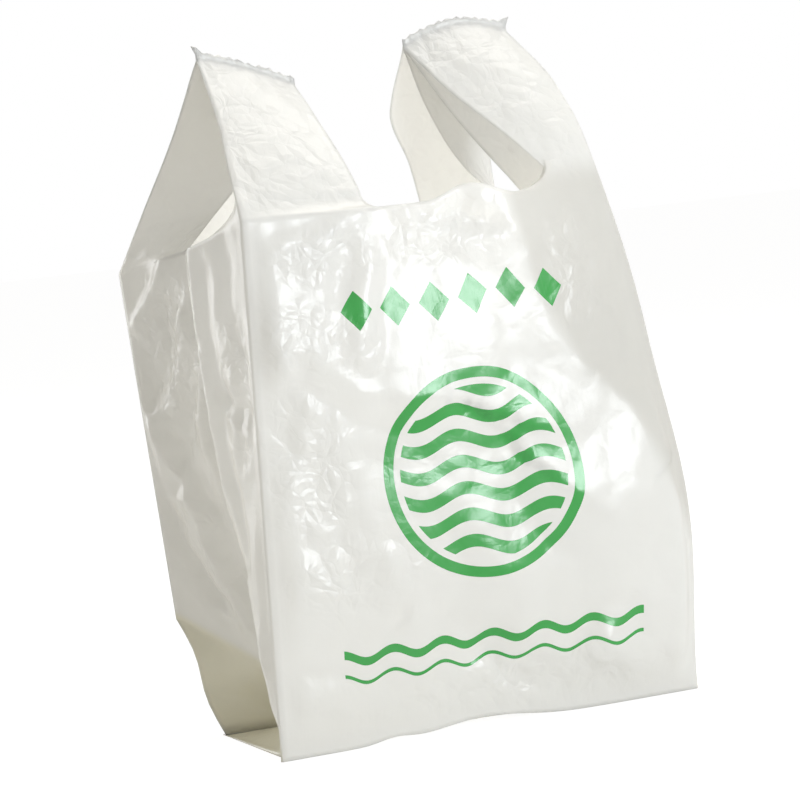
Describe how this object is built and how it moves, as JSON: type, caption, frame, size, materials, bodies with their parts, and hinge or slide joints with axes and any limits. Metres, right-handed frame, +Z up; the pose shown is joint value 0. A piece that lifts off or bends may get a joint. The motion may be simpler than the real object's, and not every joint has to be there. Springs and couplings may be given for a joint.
{
  "type": "plastic carrier bag",
  "caption": "Thin film carrier bag with gusseted sides, a welded bottom, a punched mouth and two loop handles, standing open.",
  "frame": {"origin": "on the resting plane, below the middle of the front panel's width and midway between the front and back panels", "axes": "+Z up, +X along the front panel to the viewer's right, +Y from the front panel to the back panel"},
  "size_m": [0.3326, 0.1911, 0.467],
  "materials": {
    "film": "thin translucent white polythene film with green ink on the front"
  },
  "bodies": {
    "root": {"bag": "film"}
  },
  "joints": []
}
